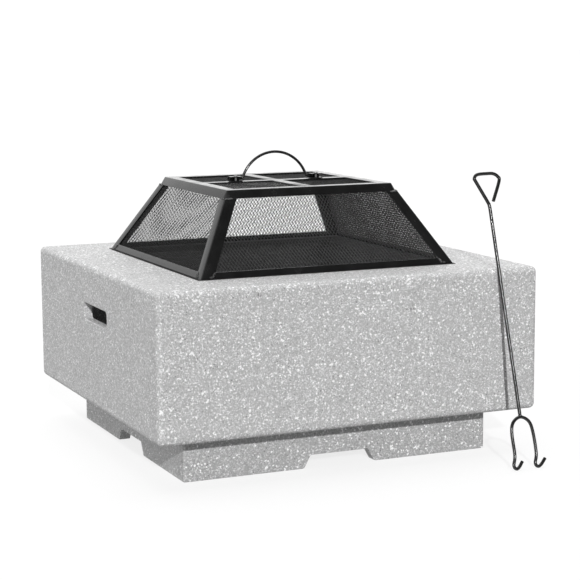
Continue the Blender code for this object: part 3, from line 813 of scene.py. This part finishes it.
def strand_path(index, height, half_of, reach):
    """Zigzag line of one strand up the sheet, as (across, up, raise) points."""
    pitch = DIAMOND_WIDTH / 2
    middle = (index + 0.5) * pitch
    swing = pitch / 2 - reach * 0.84
    half_bond = BOND_LENGTH / 2
    path = []
    bond = 0
    while True:
        up = bond * DIAMOND_HEIGHT / 2
        side = 1 if (bond + index) % 2 == 0 else -1
        for end in (up - half_bond, up + half_bond):
            if end < 0.0:
                continue
            if end > height or half_of(end) < abs(middle) + pitch / 2:
                return path
            path.append(Vector((middle + side * swing, end, -side * BOND_RAISE)))
        bond += 1


def wave(across, up, seed):
    """Slight unevenness of a sheet, out of its plane."""
    return SHEET_WAVE * noise.noise(Vector((across * 14, up * 14, seed * 7.3)))


def expanded_metal(side, half_of, height, put, seed):
    """Expanded metal sheet. put maps (across, up, out of plane) to 3-D."""
    width, twist = STRAND_CUT[side][0], math.radians(STRAND_CUT[side][1])
    wide = Vector((math.cos(twist), 0.0, -math.sin(twist))) * width / 2
    thick = Vector((math.sin(twist), 0.0, math.cos(twist))) * STRAND_THICK / 2
    corners = (wide + thick, thick - wide, -wide - thick, wide - thick)
    count = int(half_of(0.0) / (DIAMOND_WIDTH / 2)) + 1
    verts = []
    faces = []
    for index in range(-count, count):
        path = strand_path(index, height, half_of, wide.x)
        if len(path) < 2:
            continue
        first = len(verts)
        for point in path:
            lift = wave(point.x, point.y, seed)
            for corner in corners:
                place_at = point + corner
                verts.append(put(place_at.x, place_at.y, place_at.z + lift))
        for step in range(len(path) - 1):
            low = first + step * 4
            for side in range(4):
                after = (side + 1) % 4
                faces.append((low + side, low + after, low + 4 + after, low + 4 + side))
        last = first + (len(path) - 1) * 4
        faces.append((first + 3, first + 2, first + 1, first))
        faces.append((last, last + 1, last + 2, last + 3))
    mesh = bpy.data.meshes.new("sheet")
    mesh.from_pydata(verts, [], faces)
    return mesh


def make_expanded_metal():
    foot = GUARD_FOOT + BASE_RISE * MESH_START
    head = GUARD_HEAD - MESH_LAP
    height = (head - foot) / math.cos(GUARD_TILT)
    up_slope = Vector((0.0, math.sin(GUARD_TILT), math.cos(GUARD_TILT)))
    outward = Vector((0.0, -math.cos(GUARD_TILT), math.sin(GUARD_TILT)))
    start = Vector((0.0, -guard_half(foot), foot)) - outward * (GUARD_SHEET + SHEET_BEHIND)

    def side_half(up):
        return guard_half(foot + up * math.cos(GUARD_TILT)) - LEG_ACROSS + MESH_LAP

    def side_put(across, up, out):
        return start + Vector((across, 0.0, 0.0)) + up_slope * up + outward * out

    for side, turn in FOUR_SIDES:
        sheet = expanded_metal(side, side_half, height, side_put, turn)
        place(f"expanded_metal_{side}", sheet, mesh_coat, "spark_guard",
              [f"guard_mesh_{side}"], turn, sharp=40)

    size = GUARD_TOP - 2 * ANGLE_WIDTH + 2 * MESH_LAP
    level = GUARD_HEAD - GUARD_SHEET - SHEET_BEHIND + 0.0002
    top = expanded_metal(
        "top", lambda up: size / 2, size,
        lambda across, up, out: Vector((across, up - size / 2, level + out)), 5,
    )
    place("expanded_metal_top", top, mesh_coat, "spark_guard",
          ["guard_mesh_top"], sharp=40)


def make_cross_bars():
    inner = GUARD_TOP / 2 - ANGLE_WIDTH - SEAM
    bar_z = GUARD_HEAD - GUARD_SHEET / 2
    start = ANGLE_WIDTH / 2 + SEAM
    length = inner - start
    pieces = (
        ("guard_cross_bar", (2 * inner, ANGLE_WIDTH, GUARD_SHEET), 0.0),
        ("guard_cross_bar_front", (ANGLE_WIDTH, length, GUARD_SHEET), -start - length / 2),
        ("guard_cross_bar_back", (ANGLE_WIDTH, length, GUARD_SHEET), start + length / 2),
    )
    for node, size, y in pieces:
        mesh = box_mesh(node, size, (0.0, y, bar_z), SHEET_EDGE, 2)
        place(node.replace("guard_", ""), mesh, coat, "spark_guard", [node])


def make_guard_welds():
    """Lumpy weld runs at the foot and head of each leg."""
    foot_z = GUARD_FOOT + FOOT_WELD_RADIUS
    head_z = GUARD_HEAD - RAIL_DROP
    top = GUARD_FOOT + BASE_RISE
    for corner, turn in FOUR_CORNERS:
        beads = []
        for swap in (False, True):
            low = Vector((
                -guard_half(foot_z) + LEG_ACROSS - 0.0015, -guard_half(foot_z), foot_z
            ))
            high = Vector((-guard_half(top) + LEG_ACROSS - 0.0010, -guard_half(top), top - 0.0005))
            left = Vector((-guard_half(head_z) + 0.0015, -guard_half(head_z), head_z))
            right = left + Vector((LEG_ACROSS * HEAD_WELD_SHARE, 0.0, 0.0))
            blob = low + Vector((-0.0062, 0.0, 0.0003))
            ends = [low, high, left, right, blob]
            if swap:
                ends = [Vector((point.y, point.x, point.z)) for point in ends]
            low, high, left, right, blob = ends
            beads.append(weld_bead("foot", low, high, FOOT_WELD_RADIUS, turn + swap))
            beads.append(weld_bead("lump", blob, low, LUMP_RADIUS, turn + swap + 5))
            beads.append(weld_bead("head", left, right, HEAD_WELD_RADIUS, turn + swap + 3))
        place(f"guard_weld_{corner}", join_meshes("weld", beads), weld_metal,
              "spark_guard", turn=turn)


# ---------------------------------------------------------------- handle

def make_brackets():
    inner, outer = BRACKET_INSIDE, BRACKET_INSIDE + BRACKET_SHEET
    steps = 18
    turns = [math.pi * step / steps - math.pi / 2 for step in range(steps + 1)]
    outside = [(outer * math.cos(turn), outer * math.sin(turn)) for turn in turns]
    inside = [(inner * math.cos(turn), inner * math.sin(turn)) for turn in reversed(turns)]
    front = -BRACKET_FRONT
    outline = [(front, -outer)] + outside + [(front, outer), (front, inner)]
    outline += inside + [(front, -inner)]
    middle = BRACKET_START + BRACKET_LENGTH / 2
    for side, sign in (("left", -1), ("right", 1)):
        start = sign * middle - BRACKET_LENGTH / 2
        loops = [
            [Vector((start + shift, PIVOT_Y + y, PIVOT_Z + z)) for y, z in outline]
            for shift in (0.0, BRACKET_LENGTH)
        ]
        clip = place(f"bracket_{side}", loft("clip", loops), coat, "spark_guard",
                     [f"handle_bracket_{side}"])
        soften = clip.modifiers.new("soft_edges", "BEVEL")
        soften.width = 0.0003
        soften.segments = 2
        soften.limit_method = "ANGLE"
        soften.angle_limit = math.radians(50)
        make_screw(side, sign * middle)


def make_screw(side, x):
    """Pan-head screw with a cross recess."""
    head_foot = PIVOT_Z + BRACKET_INSIDE + BRACKET_SHEET + SEAM
    spot = Vector((x, PIVOT_Y - SCREW_FORWARD, head_foot))
    profile = [
        (SCREW_HEAD_RADIUS * 0.55, -0.0120), (SCREW_HEAD_RADIUS * 0.55, 0.0),
        (SCREW_HEAD_RADIUS, 0.0), (SCREW_HEAD_RADIUS, SCREW_HEAD_HEIGHT * 0.45),
        (SCREW_HEAD_RADIUS * 0.93, SCREW_HEAD_HEIGHT * 0.70),
        (SCREW_HEAD_RADIUS * 0.75, SCREW_HEAD_HEIGHT * 0.90),
        (SCREW_HEAD_RADIUS * 0.45, SCREW_HEAD_HEIGHT),
    ]
    sides = 32
    loops = []
    for radius, z in profile:
        loops.append([
            spot + Vector((
                radius * math.cos(2 * math.pi * step / sides),
                radius * math.sin(2 * math.pi * step / sides), z,
            ))
            for step in range(sides)
        ])
    slots = []
    recess = spot + Vector((0.0, 0.0, SCREW_HEAD_HEIGHT))
    for size in ((0.0034, 0.0007, 0.0018), (0.0007, 0.0034, 0.0018)):
        slots.append(box_mesh("slot", size, recess))
    head = cut_all(loft("screw", loops), slots)
    place(f"screw_{side}", head, plated_steel, "spark_guard",
          [f"bracket_screw_{side}"])


def bail_points():
    """Middle of the handle's rod: a flat arch whose feet turn outward."""
    arch_z = BAIL_RISE - BAIL_RADIUS
    bend_x = math.sqrt((BAIL_RADIUS + BAIL_BEND) ** 2 - (BAIL_BEND - arch_z) ** 2)
    foot_turn = math.atan2(bend_x, BAIL_BEND - arch_z)
    arch_steps, bend_steps = 30, 10
    right = []
    for step in range(arch_steps + 1):
        turn = foot_turn * step / arch_steps
        right.append(Vector((
            BAIL_RADIUS * math.sin(turn), 0.0, arch_z + BAIL_RADIUS * math.cos(turn)
        )))
    for step in range(1, bend_steps + 1):
        turn = foot_turn * (1 - step / bend_steps)
        right.append(Vector((
            bend_x - BAIL_BEND * math.sin(turn), 0.0, BAIL_BEND - BAIL_BEND * math.cos(turn)
        )))
    right.append(Vector((BRACKET_START + BRACKET_LENGTH - 0.002, 0.0, 0.0)))
    left = [Vector((-point.x, 0.0, point.z)) for point in reversed(right[1:])]
    return left + right


def make_handle():
    pivot = Vector((0.0, PIVOT_Y, PIVOT_Z))
    path = [point + pivot for point in bail_points()]
    place("bail", tube("bail", path, BAIL_ROD_RADIUS, 20), coat, "handle",
          ["bail_handle"])


# ---------------------------------------------------------------- poker

def poker_foot_y():
    """Where the leaning poker's line meets the ground: it touches the body's rounded edge."""
    reach = EDGE_RADIUS + 0.0003 + POKER_ROD_RADIUS
    touch_y = -(BODY_DEPTH / 2 - EDGE_RADIUS) - reach * math.cos(POKER_LEAN)
    touch_z = RIM_HEIGHT - EDGE_RADIUS + reach * math.sin(POKER_LEAN)
    return touch_y - touch_z * math.tan(POKER_LEAN)


def fork_points():
    """Middle of the fork's rod, flat in its own plane: x across, z along the poker."""
    foot = POKER_ROD_RADIUS * 1.12
    left = [
        Vector((-FORK_HALF + 0.0130, 0.0, foot + 0.0115)),
        Vector((-FORK_HALF + 0.0055, 0.0, foot + 0.0025)),
        Vector((-FORK_HALF - 0.0005, 0.0, foot)),
        Vector((-FORK_HALF - 0.0045, 0.0, foot + 0.0060)),
        Vector((-FORK_HALF, 0.0, foot + 0.0230)),
        Vector((-FORK_HALF, 0.0, FORK_TOP - 0.0260)),
        Vector((-FORK_HALF + 0.0055, 0.0, FORK_TOP - 0.0080)),
    ]
    right = [
        Vector((FORK_HALF - 0.0055, 0.0, FORK_TOP - 0.0080)),
        Vector((FORK_HALF, 0.0, FORK_TOP - 0.0260)),
        Vector((FORK_HALF + 0.0010, 0.0, foot + 0.0230)),
        Vector((FORK_HALF - 0.0035, 0.0, foot + 0.0060)),
        Vector((FORK_HALF + 0.0010, 0.0, foot)),
        Vector((FORK_HALF + 0.0080, 0.0, foot + 0.0030)),
        Vector((FORK_HALF + 0.0170, 0.0, foot + 0.0125)),
    ]
    return smooth_path(left + [Vector((0.0, 0.0, FORK_TOP))] + right, 8)


def rod_points():
    """Middle of the shaft's rod, which ends in a three-cornered loop for the hand."""
    shaft_foot = FORK_TOP + 1.6 * POKER_ROD_RADIUS
    shaft_head = Vector((-0.0024, 0.0, LOOP_FOOT - 0.0100))
    bend = [
        Vector((-0.0030, 0.0, LOOP_FOOT - 0.0020)),
        Vector((-0.0055, 0.0, LOOP_FOOT + 0.0050)),
        Vector((-0.0225, 0.0, LOOP_TOP - 0.0140)),
        Vector((-0.0250, 0.0, LOOP_TOP - 0.0070)),
        Vector((-0.0185, 0.0, LOOP_TOP - 0.0008)),
        Vector((0.0000, 0.0, LOOP_TOP + 0.0004)),
        Vector((0.0130, 0.0, LOOP_TOP - 0.0002)),
        Vector((0.0215, 0.0, LOOP_TOP - 0.0055)),
        Vector((0.0228, 0.0, LOOP_TOP - 0.0140)),
        Vector((0.0060, 0.0, LOOP_FOOT + 0.0050)),
    ]
    return [Vector((0.0, 0.0, shaft_foot))] + smooth_path([shaft_head] + bend, 8)


def make_poker():
    lean = Matrix.Translation((POKER_X, poker_foot_y(), 0.0))
    lean = lean @ Matrix.Rotation(-POKER_LEAN, 4, "X")
    crown = Vector((0.0, 0.0, FORK_TOP + POKER_ROD_RADIUS * 0.95))
    left = crown + Vector((-0.0034, 0.0, 0.0))
    right = crown + Vector((0.0034, 0.0, 0.0))
    pieces = (
        ("poker_shaft", tube("shaft", rod_points(), POKER_ROD_RADIUS, 20), ["poker_rod"], coat),
        ("poker_hook", tube("hook", fork_points(), HOOK_ROD_RADIUS, 20), ["poker_fork"], coat),
        ("poker_weld", weld_bead("weld", left, right, 0.0026, 2.0), [], weld_metal),
    )
    for name, mesh, replaced, material in pieces:
        mesh.transform(lean)
        place(name, mesh, material, "poker", replaced)


# ---------------------------------------------------------------- studio

def make_floor():
    material, tree, shader = new_material("studio_floor")
    shader.inputs["Base Color"].default_value = (FLOOR_SHADE, FLOOR_SHADE, FLOOR_SHADE, 1.0)
    shader.inputs["Roughness"].default_value = 0.9
    shader.inputs["Specular IOR Level"].default_value = 0.0
    shader.inputs["Emission Color"].default_value = (1.0, 1.0, 1.0, 1.0)
    shader.inputs["Emission Strength"].default_value = FLOOR_GLOW
    bm = bmesh.new()
    bmesh.ops.create_grid(bm, x_segments=1, y_segments=1, size=FLOOR_SIZE)
    mesh = mesh_from(bm, "studio_floor")
    mesh.materials.append(material)
    floor = bpy.data.objects.new("studio_floor", mesh)
    bpy.context.scene.collection.objects.link(floor)
    floor.visible_diffuse = False


def make_sun(name, toward, strength, angle):
    data = bpy.data.lights.new(name, "SUN")
    data.energy = strength
    data.angle = angle
    light = bpy.data.objects.new(name, data)
    light.rotation_euler = Vector(toward).to_track_quat("Z", "Y").to_euler()
    bpy.context.scene.collection.objects.link(light)


def make_surroundings():
    """White behind the pit and round the horizon, dimmer at the left and from below, and dark
    in front above, where the guard's front looks."""
    world = bpy.data.worlds.new("studio")
    bpy.context.scene.world = world
    world.use_nodes = True
    tree = world.node_tree
    direction = add(tree, "ShaderNodeTexCoord", {}).outputs["Generated"]
    parts = add(tree, "ShaderNodeSeparateXYZ", {0: direction})
    backdrop = ramp(tree, parts.outputs["X"], -0.3, 0.3, BEHIND_LEFT_WHITE, BEHIND_RIGHT_WHITE)
    to_back = ramp(tree, parts.outputs["Y"], -0.15, 0.35, 0.0, 1.0)
    behind = maths(tree, "MAXIMUM", maths(tree, "MULTIPLY", to_back, backdrop), FRONT_DARK)
    leftward = ramp(tree, parts.outputs["X"], -0.90, -0.30, LEFT_WHITE, 0.0)
    around = maths(tree, "MAXIMUM", behind, leftward)
    horizon = ramp(tree, parts.outputs["Z"], 0.03, 0.06, HORIZON_WHITE, 0.0)
    upper = maths(tree, "MAXIMUM", around, horizon)
    below = maths(tree, "LESS_THAN", parts.outputs["Z"], -0.03)
    strength = add(
        tree, "ShaderNodeMix", {0: below, 2: upper, 3: FLOOR_BOUNCE}, data_type="FLOAT"
    ).outputs[0]
    background = tree.nodes["Background"]
    background.inputs["Color"].default_value = (1.0, 1.0, 1.0, 1.0)
    tree.links.new(strength, background.inputs["Strength"])


def make_camera():
    azimuth, elevation, roll = CAMERA_AZIMUTH, CAMERA_ELEVATION, CAMERA_ROLL
    back = Vector((
        math.sin(azimuth) * math.cos(elevation),
        -math.cos(azimuth) * math.cos(elevation),
        math.sin(elevation),
    ))
    level = (-back).cross(Vector((0.0, 0.0, 1.0))).normalized()
    upright = level.cross(-back)
    right = level * math.cos(roll) + upright * math.sin(roll)
    up = upright * math.cos(roll) - level * math.sin(roll)
    data = bpy.data.cameras.new("camera")
    data.lens = CAMERA_LENS
    data.sensor_width = 36.0
    camera = bpy.data.objects.new("camera", data)
    matrix = Matrix((right, up, back)).transposed().to_4x4()
    matrix.translation = Vector(CAMERA_PLACE)
    camera.matrix_world = matrix
    bpy.context.scene.collection.objects.link(camera)
    bpy.context.scene.camera = camera


body_stone = make_terrazzo("cast_terrazzo", 1.0)
# Painted shade: the plinth's terrazzo is a darker copy of the body's, for the shade under the
# overhang.
plinth_painted_shade_stone = make_terrazzo("plinth_terrazzo_painted_shade", PLINTH_PAINTED_SHADE)
coat = make_coating("black_coating", tone=0.007, rough=0.21, peel=0.035)
mesh_coat = make_coating("mesh_coating", tone=0.007, rough=0.42, gloss=0.4)
bowl_coat = make_coating("bowl_coating", tone=0.007, rough=0.55, gloss=0.12)
grill_wire = make_coating("grill_wire", tone=0.011, rough=0.25, gloss=0.15)
weld_metal = make_coating(
    "weld_metal", tone=0.016, rough=0.26, gloss=0.9, peel_scale=1400.0, peel=0.5
)
plated_steel = make_bare_steel("plated_steel", tone=0.25, rough=0.40)

make_body()
make_plinth()
finish_bowl()
make_grill()
make_legs()
make_rails()
make_expanded_metal()
make_cross_bars()
make_guard_welds()
make_brackets()
make_handle()
make_poker()

make_floor()
make_sun("key", KEY_TOWARD, KEY_STRENGTH, KEY_ANGLE)
make_sun("overhead", (0.0, 0.0, 1.0), OVERHEAD_STRENGTH, OVERHEAD_ANGLE)
make_surroundings()
make_camera()
bpy.context.scene.view_settings.view_transform = "Standard"
